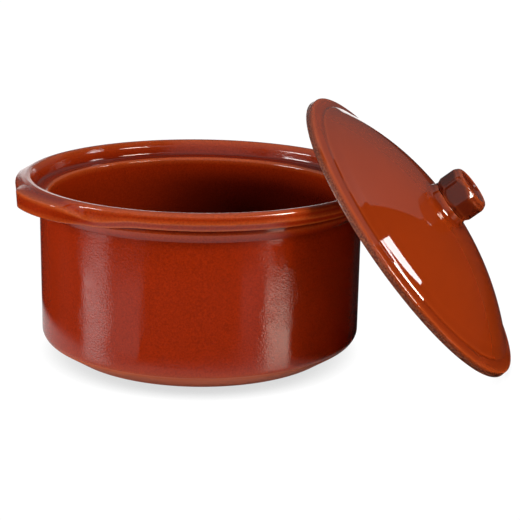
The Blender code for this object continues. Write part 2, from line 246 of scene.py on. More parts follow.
class LidSizes(bpy.types.PropertyGroup):
    """Sizes of the domed lid and its knob."""

    radius: length("Radius", "Axis to the edge of the flange", LID_RADIUS)
    flange_width: length("Flange width", "Flat ring round the dome", 10.0 * MM)
    flange: length("Flange", "Thickness of the flange", 5.3 * MM)
    flange_round: length("Flange round", "Round of the flange's two arrises", 1.0 * MM)
    step: length("Step", "Small step from the flange up to the dome", 2.4 * MM)
    band_width: length("Band width", "Shallow band round the dome's foot", 8.0 * MM)
    band_hollow: length("Band hollow", "How deep the band is hollowed", 0.12 * MM)
    dome: length("Dome", "Height of the dome over the underside", 32.6 * MM)
    wall: length("Wall", "Thickness of the lid", 8.3 * MM)
    boss_radius: length("Boss radius", "Neck under the knob", 15.3 * MM)
    boss_height: length("Boss height", "Neck over the dome's top", 4.9 * MM)
    boss_flare: length("Boss flare", "How far the neck flares out into the dome", 12.5 * MM)
    knob_offset: length("Knob offset", "How far up the slope the knob sits off the middle", 3.0 * MM)
    knob_radius: length("Knob radius", "Knob as turned, before its flats are cut", 16.9 * MM)
    knob_height: length("Knob height", "Knob over its neck", 17.2 * MM)
    knob_under: length("Knob under", "Height of the slope under the knob", 3.0 * MM)
    knob_shoulder: length("Knob shoulder", "Height of the round shoulder", 4.0 * MM)
    knob_crown: length("Knob crown", "Radius at which the shoulder meets the top", 14.5 * MM)
    knob_corner: length("Knob corner", "Axis to the corners between the flats", 17.2 * MM)
    knob_dish: length("Knob dish", "Radius of the dish on top", 12.4 * MM)
    knob_dish_depth: length("Dish depth", "Depth of the dish on top", 2.0 * MM)
    knob_corners: bpy.props.FloatVectorProperty(
        name="Knob corners", description="Turns of the corners between the hand-cut flats", size=8,
        default=[math.radians(turn) for turn in (-177, -138, -81, -50, -19, 31, 82, 132)],
        unit="ROTATION")


class GlazeColours(bpy.types.PropertyGroup):
    """Colours of the glaze and the clay."""

    body: colour("Body", "Glaze of even thickness over red clay", "#912505")
    thin: colour("Thin", "Glaze that has run thin on an edge", "#B04A1C")
    # The pooled colour also paints shade into the pot's inside
    pooled_and_shaded: colour("Pooled", "Glaze that has pooled in a corner", "#440A03")
    lid: colour("Lid", "Thinner, more orange glaze of the lid", "#8A2D08")
    knob: colour("Knob", "Thick dark glaze of the knob", "#64200C")
    clay: colour("Clay", "Bare fired clay", "#A8491F")
    edge: colour("Edge", "Wiped edge of the lid", "#4E1408")
    grit: colour("Grit", "Pale grains in the wiped edge", "#84452A")


class StudioSettings(bpy.types.PropertyGroup):
    """Floor, light and camera."""

    floor: colour("Floor", "Pale matt floor", "#F4F2EF")
    table: colour("Table", "Dark glossy ground that only reflections see", "#0A0A0A")
    pool: amount("Pale pool", "Radiance of the pale pool on the ground round the pot", 0.52)
    left: amount("Left box", "Radiance of the soft box at the left", 22.5)
    left_dim: amount("Left fill", "Radiance of the fill light beside the left box", 3.8)
    pale: amount("Pale corner", "Radiance of the pale patch on the ground in front of the left box", 0.5)
    right: amount("Right box", "Radiance of the soft box at the right", 45.0)
    warm: colour("Right cloth", "Faintly warm cloth over the right soft box", "#FFEEDD")
    right_dim: amount("Right screen", "Radiance of the dim screen beside the right box", 2.4)
    high: amount("High box", "Radiance of the soft box high at the right", 20.5)
    side: amount("Side box", "Radiance of the narrow soft box beside the lid", 15.5)
    room: amount("Room", "Radiance of the white walls and ceiling in reflections", 0.5)
    back: amount("Backdrop", "Radiance of the bright strip behind the pot", 1.3)
    ambient: amount("Ambient", "Radiance of the even light on matt surfaces", 0.02)


def rounded(rows):
    """A profile along complex corners r + iz, with each corner turned into an arc.

    A row holds a corner, or that corner at every turn, then its arc's radius and steps. An arc
    touches both sides of its corner and takes up less than half of the shorter one. Its points are
    the start, seen from the arc's centre, turned in even steps. The two ends stay sharp.
    """
    corners = np.stack(np.broadcast_arrays(*(np.atleast_1d(corner) for corner, _, _ in rows)))
    parts = [corners[:1]]
    for k, (_, radius, steps) in enumerate(rows[1:-1], 1):
        here = corners[k]
        before = corners[k - 1] - here
        after = corners[k + 1] - here
        half = np.abs(np.angle(before / after)) / 2
        reach = np.minimum(radius / np.tan(half), 0.48 * np.minimum(np.abs(before), np.abs(after)))
        bisector = before / np.abs(before) + after / np.abs(after)
        middle = here + bisector / np.abs(bisector) * reach / np.cos(half)
        start = here + before / np.abs(before) * reach - middle
        end = here + after / np.abs(after) * reach - middle
        turn = np.linspace(0.0, 1.0, steps + 1)[:, None] * np.angle(end / start)
        parts.append(middle + start * np.exp(1j * turn))
    parts.append(corners[-1:])
    return np.concatenate(parts)


def evenly(profile, spacing):
    """The same profile with rows added, so that none lie further apart than a spacing.

    Places along the profile are its rows joined with even steps of its length, without those less
    than 0.4 of a step from a row, and the rows are interpolated at those places.
    """
    step = np.abs(np.diff(profile, axis=0)).max(axis=1)
    along = np.concatenate(([0.0], np.cumsum(step)))
    extra = np.arange(0.0, along[-1], spacing)
    gap = np.abs(extra[:, None] - along[None, :]).min(axis=1)
    places = np.sort(np.concatenate((along, extra[gap > 0.4 * spacing])))
    at = np.interp(places, along, np.arange(len(along)))
    row = np.minimum(at.astype(int), len(profile) - 2)
    share = (at - row)[:, None]
    return profile[row] * (1.0 - share) + profile[row + 1] * share


def bending(profile):
    """How sharply a profile turns at each of its rows, in radians per metre, outer edges positive."""
    step = np.diff(profile, axis=0)
    turn = np.zeros(profile.shape)
    turn[1:-1] = np.angle(step[1:] / step[:-1])
    span = np.ones(profile.shape)
    span[1:-1] = (np.abs(step[1:]) + np.abs(step[:-1])) / 2
    return turn / span


def blurred(values, profile, width):
    """Values along a profile, each replaced by the mean of those near it, weighted by a bell curve."""
    step = np.abs(np.diff(profile, axis=0)).mean(axis=1)
    along = np.concatenate(([0.0], np.cumsum(step)))
    weight = np.exp(-((along[:, None] - along[None, :]) / width) ** 2)
    weight *= np.gradient(along)[None, :]
    return (weight @ values) / weight.sum(axis=1, keepdims=True)


def around(profile, turns):
    """Turns a profile r + iz round the Z axis: each column at its own turn t is (r cos t, r sin t, z)."""
    x, y = profile.real * np.cos(turns), profile.real * np.sin(turns)
    return np.stack(np.broadcast_arrays(x, y, profile.imag), axis=-1)


def glaze_marks(profile, blur, thin, pool, painted_shade=0.0, bare=0.0, wiped=0.0):
    """How the glaze lies along a profile, as a value or an array for each attribute name.

    The profile's bend, blurred over a width, thins the glaze on outer edges and pools it in
    corners, in full where the bend's radius is the length thin or pool. A share of painted shade
    is added to the pool and darkens with its colour. The share bare has no glaze, and from the share wiped
    it was wiped off.
    """
    bend = blurred(bending(profile), profile, blur)
    return {
        "thin": np.clip(bend * thin, 0.0, 1.0),
        # Glaze pooled in corners, plus the painted shade of the pot's inside
        "pooled_and_shaded": np.clip(painted_shade - bend * pool, 0.0, 1.0),
        "bare": bare,
        "wiped": wiped,
    }


def closed_skin(name, grid, marks):
    """A closed mesh over a grid of points whose first and last rows are poles.

    Rows run along the profile and columns round the axis. Inner rows become quads joined across the
    last column, and each pole is one point with a fan of triangles. marks holds the values of each
    attribute, which are spread over the grid.
    """
    rows, columns = grid.shape[:2]
    inner = grid[1:-1].reshape(-1, 3)
    points = np.concatenate((grid[:1, 0], inner, grid[-1:, 0])).astype(np.float32)
    number = 1 + np.arange((rows - 2) * columns).reshape(rows - 2, columns)
    beside = np.roll(number, -1, axis=1)
    quads = np.stack((number[:-1], beside[:-1], beside[1:], number[1:]), axis=-1).reshape(-1)
    first = np.stack((np.zeros(columns, int), beside[0], number[0]), axis=-1).reshape(-1)
    last = np.stack((np.full(columns, len(points) - 1), number[-1], beside[-1]), axis=-1).reshape(-1)
    sizes = np.concatenate((np.full(len(quads) // 4, 4), np.full(2 * columns, 3)))
    mesh = bpy.data.meshes.new(name)
    mesh.vertices.add(len(points))
    mesh.vertices.foreach_set("co", points.reshape(-1))
    mesh.loops.add(int(sizes.sum()))
    mesh.loops.foreach_set("vertex_index", np.concatenate((quads, first, last)).astype(np.int32))
    mesh.polygons.add(len(sizes))
    mesh.polygons.foreach_set("loop_start", np.concatenate(([0], np.cumsum(sizes)[:-1])).astype(np.int32))
    mesh.update(calc_edges=True)
    mesh.shade_smooth()
    for mark, values in marks.items():
        spread = np.broadcast_to(values, (rows, columns))
        flat = np.concatenate((spread[:1, 0], spread[1:-1].reshape(-1), spread[-1:, 0]))
        mesh.attributes.new(mark, "FLOAT", "POINT").data.foreach_set("value", flat.astype(np.float32))
    made = bpy.data.objects.new(name, mesh)
    bpy.context.scene.collection.objects.link(made)
    return made


def smoothstep(low, high, value):
    """Rises from 0 at low to 1 at high along the cubic 3x^2 - 2x^3."""
    x = np.clip((value - low) / (high - low), 0.0, 1.0)
    return x * x * (3.0 - 2.0 * x)


def wrapped(angles):
    """Angles brought into the half turn on either side of zero."""
    return (angles + np.pi) % math.tau - np.pi


def lug_shape(sizes, turns):
    """How a lug stands at each turn round the pot, as four shares between 0 and 1.

    They are the share of its reach, that of its lower edge's reach, that of its sag below the rim,
    and how far it is the deep lobe and not the shallow one. The reach eases out near the ends, the
    lower edge draws in along a parabola, and the sag runs on a little along the rim.
    """
    reach, under, sag, deep = (np.zeros(turns.shape) for _ in range(4))
    for middle in (sizes.left_lug, sizes.right_lug):
        turn = wrapped(turns - middle)
        along = np.abs(turn) / sizes.lug_half_angle
        reach += smoothstep(LUG_REACH_GONE, LUG_REACH_WHOLE, along)
        under += np.maximum(1.0 - along ** 2, 0.0)
        sag += smoothstep(LUG_SAG_GONE, LUG_SAG_WHOLE, along)
        deep += (along < LUG_PAST) * smoothstep(-sizes.lug_step_angle, sizes.lug_step_angle, turn)
    return reach, under, sag, deep


def pot_turns(sizes, columns):
    """Turns round the pot, twice as close together at the lugs as elsewhere.

    Places round the pot, 20 to a column, are weighted with a flat-topped bell curve over each lug,
    and the turns cut the summed weight into even parts.
    """
    even = np.linspace(0.0, math.tau, 20 * columns + 1)
    weight = np.ones(even.shape)
    for middle in (sizes.left_lug, sizes.right_lug):
        weight += np.exp(-(wrapped(even - middle) / (0.8 * sizes.lug_half_angle)) ** 4)
    total = np.concatenate(([0.0], np.cumsum((weight[1:] + weight[:-1]) / 2)))
    return np.interp(np.linspace(0.0, total[-1], columns + 1)[:-1], total, even)


def pot_profile(sizes, turns):
    """The pot's section at every turn, from the middle of its base round the rim to its floor.

    At a lug, the rim's bevel moves out: its upper corner becomes the lug's upper edge and its lower
    corner the lug's lower one. The rim's own edge then lies in the lug's sloping top. The deep lobe
    has a crisp upper edge and the shallow one a round shoulder.
    """
    share, low_share, sag_share, deep = lug_shape(sizes, turns)
    reach = share * (sizes.lug_shallow + deep * (sizes.lug_reach - sizes.lug_shallow))
    sag = sizes.lug_sag * sag_share
    inner = sizes.wall_radius - sizes.wall
    gallery = sizes.rim_radius - sizes.rim_thickness
    gallery_floor = sizes.height - sizes.gallery_depth
    collar = sizes.wall_radius + sizes.collar_width
    under = sizes.height - sizes.rim_height
    bevel_foot = sizes.rim_radius - sizes.bevel_width
    bevel_top = under + sizes.bevel_height - sag
    lug_top = sizes.height - sizes.lug_fall
    out = sizes.rim_radius + reach
    low = bevel_foot + (out - sizes.lug_undercut - bevel_foot) * low_share
    lug_edge = sizes.lug_shoulder + deep * (sizes.lug_edge - sizes.lug_shoulder)
    edge_round = sizes.bevel_round + share * (lug_edge - sizes.bevel_round)
    under_round = sizes.bevel_round + share * (sizes.lug_under - sizes.bevel_round)
    return rounded([
        (0j, 0.0, 0),
        (sizes.wall_radius - sizes.heel_width + 0j, FOOT_ROUND, 4),
        (sizes.wall_radius + 1j * sizes.heel_height, sizes.heel_round, 8),
        (sizes.wall_radius + 1j * (under - sizes.collar_height - sizes.cove), COVE_ROUND, 4),
        (collar + 1j * (under - sizes.collar_height), COLLAR_ROUND, 4),
        (collar + 1j * under, COLLAR_ROUND, 4),
        (low + 1j * (under - sag), under_round, 8),
        (out + 1j * (bevel_top + (lug_top - bevel_top) * share), edge_round, 8),
        (sizes.rim_radius + 1j * (sizes.height - sizes.lip_fall + LIP_CROWN * share), sizes.rim_round, 8),
        (sizes.rim_radius - sizes.lip_slope + 1j * sizes.height, LIP_ROUND, 4),
        (gallery + sizes.lip_slope + 1j * (sizes.height - LIP_CROWN), LIP_INNER_ROUND, 6),
        (gallery + LIP_FOOT_SHARE * sizes.lip_slope + 1j * (sizes.height - sizes.lip_depth),
         LIP_FOOT_ROUND, 6),
        (gallery + 1j * gallery_floor, GALLERY_CORNER_ROUND, 8),
        (inner + 1j * gallery_floor, GALLERY_EDGE_ROUND, 8),
        (inner + 1j * sizes.floor, sizes.floor_corner, 12),
        (1j * sizes.floor, 0.0, 0),
    ])


def add(tree, kind, inputs=None, out=None, **settings):
    """Adds a node with its settings, sets or links its inputs, and returns an output.

    An input is known by its name or, where several share one, its identifier. The output is the one
    that out names, or else the first that is in use.
    """
    node = tree.nodes.new("ShaderNode" + kind)
    for name, value in settings.items():
        setattr(node, name, value)
    for key, value in (inputs or {}).items():
        found = next(socket for socket in node.inputs if key in (socket.identifier, socket.name))
        if isinstance(value, bpy.types.NodeSocket):
            tree.links.new(value, found)
        else:
            found.default_value = value
    return next((socket for socket in node.outputs if socket.enabled and out in (None, socket.name)), None)


def opaque(rgb):
    """A linear colour with full alpha."""
    return (*rgb, 1.0)


def empty_material(name):
    """A new material and its node tree, without nodes."""
    made = bpy.data.materials.new(name)
    made.use_nodes = True
    made.node_tree.nodes.clear()
    return made, made.node_tree


def glazed_terracotta(name, body, colours, grain, roughness):
    """Red earthenware dipped in a clear lead-type glaze and fired.

    The glaze is a thin glass over rough red clay: sharp reflections, a deep colour that turns
    orange where the glass ran thin on edges and nearly black where it gathered in corners, and under
    it the fine grain of the clay, which the glass follows as a faint orange peel. The same dark
    colour paints shade into the pot's inside. Where the glaze was wiped off an edge, the clay is
    brown, dull and gritty, with a glassy grain here and there.
    The peel is patchy, as the glaze is thicker in some clouds than in others. grain is how much
    the clay's grain shows through, and roughness is the glass's own.
    """
    made, tree = empty_material(name)
    place = add(tree, "TexCoord", out="Object")
    thin = add(tree, "Attribute", out="Fac", attribute_name="thin")
    pooled_and_shaded = add(tree, "Attribute", out="Fac", attribute_name="pooled_and_shaded")
    bare = add(tree, "Attribute", out="Fac", attribute_name="bare")
    wiped = add(tree, "Attribute", out="Fac", attribute_name="wiped")
    # Clouds of thicker glaze are 28 mm wide. Clay grains are 0.2 to 0.5 mm, too fine to show from
    # here, so specks, grit and the peel over them are drawn at 1 to 1.2 mm.
    cloud = add(tree, "TexNoise", {"Vector": place, "Scale": 1 / (28 * MM), "Detail": 4.0})
    speck = add(tree, "TexNoise", {"Vector": place, "Scale": 1 / (1.1 * MM), "Detail": 3.0})
    grit = add(tree, "TexNoise", {"Vector": place, "Scale": 1 / (1.0 * MM), "Detail": 2.0})
    ripple = add(tree, "TexNoise", {"Vector": place, "Scale": 1 / (1.2 * MM), "Detail": 2.0})
    # Colour: clouds, thin edges, pools and painted shade, grains, the wiped edge and the bare clay, one
    # over the other
    deep = add(tree, "Mix", {"Factor_Float": cloud, "A_Color": opaque(body),
                             "B_Color": opaque([0.9 * c for c in body])}, data_type="RGBA")
    tint = add(tree, "Mix", {"Factor_Float": thin, "A_Color": deep, "B_Color": opaque(colours.thin)},
               data_type="RGBA")
    # Glaze gathered in corners and the painted shade inside the pot both take the dark pooled colour
    dark = add(tree, "Mix", {"Factor_Float": pooled_and_shaded, "A_Color": tint, "B_Color": opaque(colours.pooled_and_shaded)},
               data_type="RGBA")
    grains = add(tree, "MapRange", {"Value": speck, "From Min": 0.3, "From Max": 0.7,
                                    "To Min": 1.0 - 0.4 * grain, "To Max": 1.0 + 0.4 * grain})
    spotted = add(tree, "Mix", {"Factor_Float": 1.0, "A_Color": dark, "B_Color": grains},
                  data_type="RGBA", blend_type="MULTIPLY")
    gritty = add(tree, "MapRange", {"Value": grit, "From Min": 0.4, "From Max": 0.62})
    rubbed = add(tree, "Mix", {"Factor_Float": gritty, "A_Color": opaque(colours.edge),
                               "B_Color": opaque(colours.grit)}, data_type="RGBA")
    worn = add(tree, "Mix", {"Factor_Float": wiped, "A_Color": spotted, "B_Color": rubbed},
               data_type="RGBA")
    coat = add(tree, "Mix", {"Factor_Float": bare, "A_Color": worn, "B_Color": opaque(colours.clay)},
               data_type="RGBA")
    # Roughness: glass, the dull wiped edge and bare clay
    glassy = add(tree, "MapRange", {"Value": wiped, "To Min": roughness, "To Max": 0.3})
    rough = add(tree, "Mix", {"Factor_Float": bare, "A_Float": glassy, "B_Float": 0.8},
                data_type="FLOAT")
    # Relief: the patchy peel, and the gravel of the wiped edge
    patchy = add(tree, "MapRange", {"Value": cloud, "From Min": 0.4, "From Max": 0.62,
                                    "To Min": 0.4 * grain, "To Max": 1.8 * grain})
    peel = add(tree, "Bump", {"Height": ripple, "Strength": patchy, "Distance": 0.17 * MM})
    gravel = add(tree, "Bump", {"Height": grit, "Strength": wiped, "Distance": 0.25 * MM,
                                "Normal": peel})
    shader = add(tree, "BsdfPrincipled", {"Base Color": coat, "Roughness": rough, "Normal": gravel,
                                          "IOR": 1.52})
    add(tree, "OutputMaterial", {"Surface": shader})
    return made


class COCOTTE_OT_pot(bpy.types.Operator):
    """Builds the pot's glazed skin with its rolled rim, gallery and lug handles"""

    bl_idname = "cocotte.pot"
    bl_label = "Build pot"

    def execute(self, context):
        sizes = context.scene.cocotte_pot
        colours = context.scene.cocotte_colours
        turns = pot_turns(sizes, POT_COLUMNS)
        profile = evenly(pot_profile(sizes, turns), POT_STEP)
        outside = np.arange(len(profile))[:, None] < len(profile) // 2
        below = smoothstep(GLAZE_LINE_BLUR, -GLAZE_LINE_BLUR, profile.imag - sizes.glaze_line)
        # Inside, painted shade darkens the glaze downwards, and less so towards the left
        deep = smoothstep(INSIDE_SHADE_FROM, INSIDE_SHADE_DOWN_TO, sizes.height - profile.imag) * ~outside
        side = 0.35 + 0.65 * smoothstep(-0.9, 0.3, np.cos(turns + math.radians(15.0)))
        # The painted shade of the inside goes into the dark colour of the pools
        marks = glaze_marks(profile, blur=1.2 * MM, thin=2.2 * MM, pool=2.2 * MM, painted_shade=deep * side,
                            bare=below * outside)
        pot = closed_skin("glazed_pot", around(profile, turns), marks)
        pot.data.materials.append(glazed_terracotta("honey_glaze_on_red_clay", colours.body, colours,
                                                    grain=0.5, roughness=0.07))
        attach(pot, "pot")
        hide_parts("pot_body", "left_lug_handle", "right_lug_handle")
        return {"FINISHED"}


def dome_arc(sizes):
    """Radius of the dome's arc, which rises over the foot's radius: (foot^2 + rise^2) / (2 rise)."""
    foot = sizes.radius - sizes.flange_width
    rise = sizes.dome - sizes.flange - sizes.step
    return (foot ** 2 + rise ** 2) / (2 * rise)


def dome_height(sizes, radius, wall):
    """Height over the lid's underside of the dome's arc at a radius, or of the arc a wall inside it."""
    outer = dome_arc(sizes)
    return sizes.dome - outer + np.sqrt((outer - wall) ** 2 - radius ** 2)


def hollow_radius(sizes):
    """Radius at which the lid's hollow meets the plane of its underside."""
    outer = dome_arc(sizes)
    return math.sqrt((outer - sizes.wall) ** 2 - (outer - sizes.dome) ** 2)


def lid_profile(sizes):
    """The lid's section from the middle of its hollow round the flange and over the dome to its neck."""
    hollow = np.linspace(0.0, hollow_radius(sizes), 40)
    inside = hollow + 1j * dome_height(sizes, hollow, sizes.wall)
    foot = sizes.radius - sizes.flange_width
    ridge = foot - sizes.band_width
    beyond = ridge - RIDGE_RUN
    foot_corner = foot + 1j * (sizes.flange + sizes.step)
    ridge_corner = ridge + 1j * dome_height(sizes, ridge, 0.0)
    edge = rounded([
        (hollow[-1] + 0j, 0.0, 0),
        (sizes.radius + 0j, sizes.flange_round, 8),
        (sizes.radius - FLANGE_DRAFT + 1j * sizes.flange, sizes.flange_round, 8),
        (foot + STEP_RUN + 1j * (sizes.flange + STEP_RISE), STEP_FOOT_ROUND, 6),
        (foot_corner, STEP_EDGE_ROUND, 6),
        ((foot_corner + ridge_corner) / 2 - 1j * sizes.band_hollow, BAND_ROUND, 10),
        (ridge_corner, RIDGE_ROUND, 8),
        (beyond + 1j * dome_height(sizes, beyond, 0.0), 0.0, 0),
    ])
    across = np.linspace(beyond, sizes.boss_radius + sizes.boss_flare, 46)
    over = across + 1j * dome_height(sizes, across, 0.0)
    top = sizes.dome + sizes.boss_height
    neck = rounded([
        (over[-1], 0.0, 0),
        (sizes.boss_radius + NECK_RUN + 1j * (sizes.dome - NECK_SINK), NECK_ROUND, 12),
        (sizes.boss_radius + 1j * top, NECK_EDGE_ROUND, 3),
        (1j * top, 0.0, 0),
    ])
    return np.concatenate((inside[:, None], edge[1:-1], over[:, None], neck[1:]))


def boss_shifted(sizes, points):
    """The lid's points with its boss moved up the slope, and the dome's skin drawn after it.

    The pull is whole on the boss and its flare and dies out over the same width again. Skin that
    moves along the dome keeps to its arc.
    """
    flare = sizes.boss_radius + sizes.boss_flare
    radius = np.hypot(points[..., 0], points[..., 1])
    pull = smoothstep(flare + sizes.boss_flare, flare, radius)
    pull *= points[..., 2] > sizes.dome - sizes.wall / 2
    moved = points.copy()
    moved[..., 0] -= sizes.knob_offset * pull
    after = np.hypot(moved[..., 0], moved[..., 1])
    climb = dome_height(sizes, after, 0.0) - dome_height(sizes, radius, 0.0)
    moved[..., 2] += smoothstep(sizes.boss_radius, flare, radius) * (pull > 0.0) * climb
    return moved


def knob_profile(sizes, turns):
    """The knob's section at every turn: turned round, then cut back to its flats.

    Between two corners at turns a and b on a circle of radius c, the flat lies c cos((b - a) / 2) from
    the axis, so at turn t it leaves that distance over cos(t - (a + b) / 2). Each turn keeps the
    least of the turned radius and those of the flats that face it, and a soft minimum rounds the
    arrises: -s log(sum of exp(-x / s)) over all x.
    """
    bottom = sizes.dome + sizes.boss_height + SEAM
    top = bottom + sizes.knob_height
    turned = evenly(rounded([
        (1j * bottom, 0.0, 0),
        (sizes.boss_radius + 1j * bottom, KNOB_FOOT_ROUND, 3),
        (sizes.knob_radius + 1j * (bottom + sizes.knob_under), KNOB_UNDER_ROUND, 8),
        (sizes.knob_radius + 1j * (top - sizes.knob_shoulder), KNOB_SHOULDER_ROUND, 10),
        (sizes.knob_crown + 1j * (top - KNOB_CROWN_FALL), KNOB_CROWN_ROUND, 8),
        (sizes.knob_dish + 1j * top, DISH_EDGE_ROUND, 6),
        (sizes.knob_dish - DISH_RUN + 1j * (top - sizes.knob_dish_depth), DISH_ROUND, 8),
        (1j * (top - sizes.knob_dish_depth), 0.0, 0),
    ]), KNOB_STEP)
    corners = np.sort(np.array(sizes.knob_corners))
    after = np.append(corners[1:], corners[0] + math.tau)
    half = (after - corners) / 2
    off = np.cos(turns[:, None] - (corners + half)[None, :])
    # A flat faces a turn if this cosine is above 0.3. The others count as a metre away.
    facing, far = 0.3, 1.0
    flats = np.where(off > facing, sizes.knob_corner * np.cos(half) / np.maximum(off, facing), far)
    radius = turned.real[:, :, None]
    meeting = np.concatenate((radius * np.ones((1, len(turns), 1)),
                              flats[None] * np.ones((len(turned), 1, 1))), -1)
    least = -FLAT_ARRIS * np.log(np.exp(-(meeting - radius) / FLAT_ARRIS).sum(axis=-1)) + turned.real
    kept = np.where(turned.real < KNOB_CORE_SHARE * sizes.knob_radius, turned.real, least)
    return kept + 1j * turned.imag


def laid(points, place):
    """Points of the lid's own frame moved to where the lid lies."""
    return points @ place[:, :3].T + place[:, 3]


class COCOTTE_OT_lid(bpy.types.Operator):
    """Builds the lid's glazed skin with its flange, dome and neck"""

    bl_idname = "cocotte.lid"
    bl_label = "Build lid"

    def execute(self, context):
        sizes = context.scene.cocotte_lid
        colours = context.scene.cocotte_colours
        turns = np.linspace(0.0, math.tau, LID_COLUMNS, endpoint=False)
        profile = evenly(lid_profile(sizes), LID_STEP)
        # The outermost 0.9 mm of the flange is wiped, up to nine tenths of its thickness
        edge = smoothstep(0.9 * MM, 0.5 * MM, sizes.radius - profile.real)
        edge *= smoothstep(0.9 * sizes.flange, 0.75 * sizes.flange, profile.imag)
        marks = glaze_marks(profile, blur=1.0 * MM, thin=1.2 * MM, pool=1.0 * MM, wiped=edge)
        points = boss_shifted(sizes, around(profile, turns))
        lid = closed_skin("glazed_lid", laid(points, LID_PLACE), marks)
        lid.data.materials.append(glazed_terracotta("amber_glaze_on_lid", colours.lid, colours,
                                                    grain=0.015, roughness=0.03))
        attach(lid, "lid")
        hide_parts("lid")
        return {"FINISHED"}


class COCOTTE_OT_knob(bpy.types.Operator):
    """Builds the knob with its cut flats and its dish"""

    bl_idname = "cocotte.knob"
    bl_label = "Build knob"

    def execute(self, context):
        sizes = context.scene.cocotte_lid
        colours = context.scene.cocotte_colours
        turns = np.linspace(0.0, math.tau, KNOB_COLUMNS, endpoint=False)
        profile = knob_profile(sizes, turns)
        marks = glaze_marks(profile, blur=0.8 * MM, thin=1.2 * MM, pool=2.2 * MM)
        points = around(profile, turns) - (sizes.knob_offset, 0.0, 0.0)
        knob = closed_skin("glazed_knob", laid(points, LID_PLACE), marks)
        knob.data.materials.append(glazed_terracotta("dark_glaze_on_knob", colours.knob, colours,
                                                     grain=0.04, roughness=0.04))
        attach(knob, "lid")
        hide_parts("lid_knob")
        return {"FINISHED"}


class COCOTTE_OT_studio(bpy.types.Operator):
    """Lays the pale floor and sets the soft lights and the camera"""

    bl_idname = "cocotte.studio"
    bl_label = "Build studio"

    def execute(self, context):
        scene = context.scene
        settings = scene.cocotte_studio
        floor = card("studio_floor", place=POT_FOOT, facing=(0.0, 0.0, 1.0), size=(12.0, 12.0),
                     finish=matt_white(settings.floor))
        floor.visible_glossy = False
        unseen(sheet("mirror_ground", MIRROR_GROUND, dark_gloss(settings.table, settings.pool)))
        unseen(sheet("pale_patch", PALE_PATCH, glow("pale_glow", settings.pale)))
        scene.world = studio_air(settings.ambient)
        soft_box("left_box", POT_FOOT, aim=(-76.5, 17.0), distance=1.6, size=(0.593, 0.365),
                 radiance=settings.left)
        fill = soft_box("left_fill", POT_FOOT, aim=(-50.0, 17.0), distance=0.85, size=(0.40, 0.26),
                        radiance=settings.left_dim)
        fill.visible_glossy = False
        gleam = soft_box("right_box", POT_FOOT, aim=(54.0, 23.0), distance=1.6, size=(0.50, 0.56),
                         radiance=settings.right)
        gleam.data.color = settings.warm
        gleam.visible_diffuse = False
        high = soft_box("high_box", POT_FOOT, aim=(50.0, 42.0), distance=1.3, size=(0.44, 0.44),
                        radiance=settings.high)
        high.visible_glossy = False
        soft_box("right_screen", POT_FOOT, aim=(36.5, 17.0), distance=1.65, size=(0.52, 0.49),
                 radiance=settings.right_dim)
        soft_box("side_box", LID_SIDE, aim=(97.8, 30.5), distance=1.0, size=(0.16, 0.31),
                 radiance=settings.side, roll=-26.0)
        dim = glow("white_wall", settings.room)
        unseen(card("ceiling_card", place=(-0.6, -1.2, 1.7), facing=(0.0, 0.0, -1.0), size=(2.4, 2.4),
                    finish=dim))
        unseen(card("front_wall", place=(0.0, -2.5, 1.2), facing=(0.0, 1.0, 0.0), size=(4.4, 2.4),
                    finish=dim))
        unseen(card("left_wall", place=(-2.5, 0.0, 1.2), facing=(1.0, 0.0, 0.0), size=(4.4, 2.4),
                    finish=dim))
        unseen(sheet("rear_wall", REAR_WALL, rear_paper(low=0.14, high=3.95)))
        unseen(sheet("back_strip", BACK_STRIP, glow("back_glow", settings.back)))
        scene.camera = photo_camera()
        scene.view_settings.view_transform = "Standard"
        return {"FINISHED"}


def aimed(made, place, facing, roll=0.0):
    """Puts an object at a place with its local Z along a direction, rolled about it."""
    made.location = place
    turned = Vector(facing).to_track_quat("Z", "Y") @ Quaternion((0.0, 0.0, 1.0), math.radians(roll))
    made.rotation_euler = turned.to_euler()


def card(name, place, facing, size, finish):
    """A flat rectangle of the stage, square to a direction."""
    mesh = bpy.data.meshes.new(name)
    x, y = size[0] / 2, size[1] / 2
    mesh.from_pydata([(-x, -y, 0), (x, -y, 0), (x, y, 0), (-x, y, 0)], [], [(0, 1, 2, 3)])
    mesh.materials.append(finish)
    made = bpy.data.objects.new(name, mesh)
    bpy.context.scene.collection.objects.link(made)
    aimed(made, place, facing)
    return made


def sheet(name, corners, finish):
    """A flat sheet with the given corners, modelled in place."""
    mesh = bpy.data.meshes.new(name)
    mesh.from_pydata(corners, [], [range(len(corners))])
    mesh.materials.append(finish)
    made = bpy.data.objects.new(name, mesh)
    bpy.context.scene.collection.objects.link(made)
    return made


def rear_paper(low, high):
    """Dim white paper behind the pot, which gets brighter between two heights."""
    made, tree = empty_material("rear_paper")
    place = add(tree, "TexCoord", out="Object")
    up = add(tree, "SeparateXYZ", {"Vector": place}, out="Z")
    light = add(tree, "MapRange", {"Value": up, "From Min": low, "From Max": high,
                                   "To Min": 0.07, "To Max": 0.775})
    shining = add(tree, "Emission", {"Strength": light})
    add(tree, "OutputMaterial", {"Surface": shining})
    return made


def unseen(made):
    """Leaves an object of the stage to reflections alone."""
    made.visible_camera = False
    made.visible_diffuse = False
    made.visible_transmission = False
    made.visible_shadow = False


